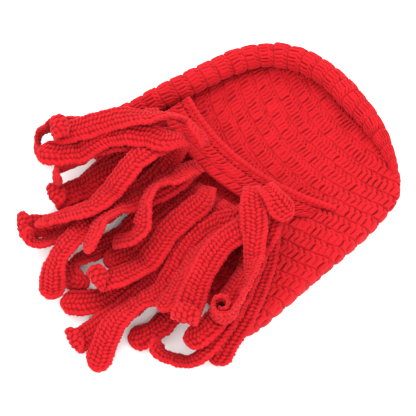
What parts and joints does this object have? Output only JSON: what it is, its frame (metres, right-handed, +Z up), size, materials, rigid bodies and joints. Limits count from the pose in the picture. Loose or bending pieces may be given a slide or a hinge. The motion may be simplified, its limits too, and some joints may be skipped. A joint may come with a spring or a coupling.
{
  "type": "octopus hat",
  "caption": "Crocheted octopus hat laid on its back: rounded crown, rolled forehead rim, open face and a mask that carries a beard of long curling tentacles.",
  "frame": {"origin": "on the flat underside of the back panel, 110 mm from its neck edge, midway between its sides: the level of the table", "axes": "+Y from the neck edge towards the crown, +Z up from the table through the face opening, +X towards the side where the near cheek lies"},
  "size_m": [0.2988, 0.3819, 0.089],
  "materials": {
    "hat_fabric": "matt crocheted yarn",
    "rim_fabric": "matt crocheted yarn, thick padded roll",
    "mask_fabric": "matt crocheted yarn with a chained rope edge",
    "tentacle_fabric": "matt crocheted yarn"
  },
  "bodies": {
    "hat": {"back_panel": "hat_fabric", "forehead_rim": "rim_fabric", "far_side_fold": "hat_fabric", "near_cheek": "hat_fabric"},
    "mask": {"mask_band": "mask_fabric", "mask_edging": "mask_fabric"},
    "under_layer": {"tentacle_01": "tentacle_fabric", "tentacle_02": "tentacle_fabric", "tentacle_03": "tentacle_fabric", "tentacle_04": "tentacle_fabric", "tentacle_05": "tentacle_fabric", "tentacle_06": "tentacle_fabric", "tentacle_07": "tentacle_fabric", "tentacle_08": "tentacle_fabric", "tentacle_09": "tentacle_fabric", "tentacle_10": "tentacle_fabric", "tentacle_11": "tentacle_fabric"},
    "middle_layer": {"tentacle_12": "tentacle_fabric", "tentacle_13": "tentacle_fabric", "tentacle_14": "tentacle_fabric", "tentacle_15": "tentacle_fabric", "tentacle_16": "tentacle_fabric", "tentacle_18": "tentacle_fabric"},
    "tentacle_17": {"tentacle_17": "tentacle_fabric"},
    "tentacle_19": {"tentacle_19": "tentacle_fabric"},
    "tentacle_25": {"tentacle_25": "tentacle_fabric"},
    "tentacle_26": {"tentacle_26": "tentacle_fabric"},
    "tentacle_20": {"tentacle_20": "tentacle_fabric"},
    "tentacle_21": {"tentacle_21": "tentacle_fabric"},
    "tentacle_22": {"tentacle_22": "tentacle_fabric"},
    "tentacle_23": {"tentacle_23": "tentacle_fabric"},
    "tentacle_24": {"tentacle_24": "tentacle_fabric"}
  },
  "joints": [
    {"name": "mask_lift", "type": "hinge", "parent": "hat", "child": "mask", "pos_m": [-0.014, 0.0176, 0.021], "axis": [-0.9729, -0.2312, 0], "range_deg": [0, 35]},
    {"name": "under_layer_lift", "type": "hinge", "parent": "mask", "child": "under_layer", "pos_m": [-0.02, -0.00175, 0.028], "axis": [-0.9701, -0.2425, 0], "range_deg": [0, 15]},
    {"name": "middle_layer_lift", "type": "hinge", "parent": "under_layer", "child": "middle_layer", "pos_m": [-0.02, -0.00175, 0.032], "axis": [-0.9701, -0.2425, 0], "range_deg": [0, 15]},
    {"name": "tentacle_17_lift", "type": "hinge", "parent": "middle_layer", "child": "tentacle_17", "pos_m": [0.03, 0.01075, 0.034], "axis": [-0.9701, -0.2425, 0], "range_deg": [0, 15]},
    {"name": "tentacle_19_lift", "type": "hinge", "parent": "tentacle_17", "child": "tentacle_19", "pos_m": [0.035, 0.012, 0.04], "axis": [-0.9701, -0.2425, 0], "range_deg": [0, 15]},
    {"name": "tentacle_25_lift", "type": "hinge", "parent": "tentacle_19", "child": "tentacle_25", "pos_m": [0.025, 0.0095, 0.046], "axis": [-0.9701, -0.2425, 0], "range_deg": [0, 30]},
    {"name": "tentacle_26_lift", "type": "hinge", "parent": "tentacle_25", "child": "tentacle_26", "pos_m": [0.04, -0.0132, 0.07208], "axis": [-0.033, -0.9995, 0], "range_deg": [0, 45]},
    {"name": "tentacle_20_lift", "type": "hinge", "parent": "middle_layer", "child": "tentacle_20", "pos_m": [-0.055, -0.0105, 0.052], "axis": [-0.9701, -0.2425, 0], "range_deg": [0, 15]},
    {"name": "tentacle_21_lift", "type": "hinge", "parent": "tentacle_20", "child": "tentacle_21", "pos_m": [-0.045, -0.008, 0.056], "axis": [-0.9701, -0.2425, 0], "range_deg": [0, 15]},
    {"name": "tentacle_22_lift", "type": "hinge", "parent": "tentacle_21", "child": "tentacle_22", "pos_m": [-0.031, -0.02633, 0.06097], "axis": [-0.2831, 0.9591, 0], "range_deg": [0, 35]},
    {"name": "tentacle_23_lift", "type": "hinge", "parent": "middle_layer", "child": "tentacle_23", "pos_m": [-0.012, 0.00025, 0.038], "axis": [-0.9701, -0.2425, 0], "range_deg": [0, 8]},
    {"name": "tentacle_24_lift", "type": "hinge", "parent": "tentacle_21", "child": "tentacle_24", "pos_m": [-0.028, -0.04586, 0.04042], "axis": [-0.9843, -0.1768, 0], "range_deg": [0, 30]}
  ]
}
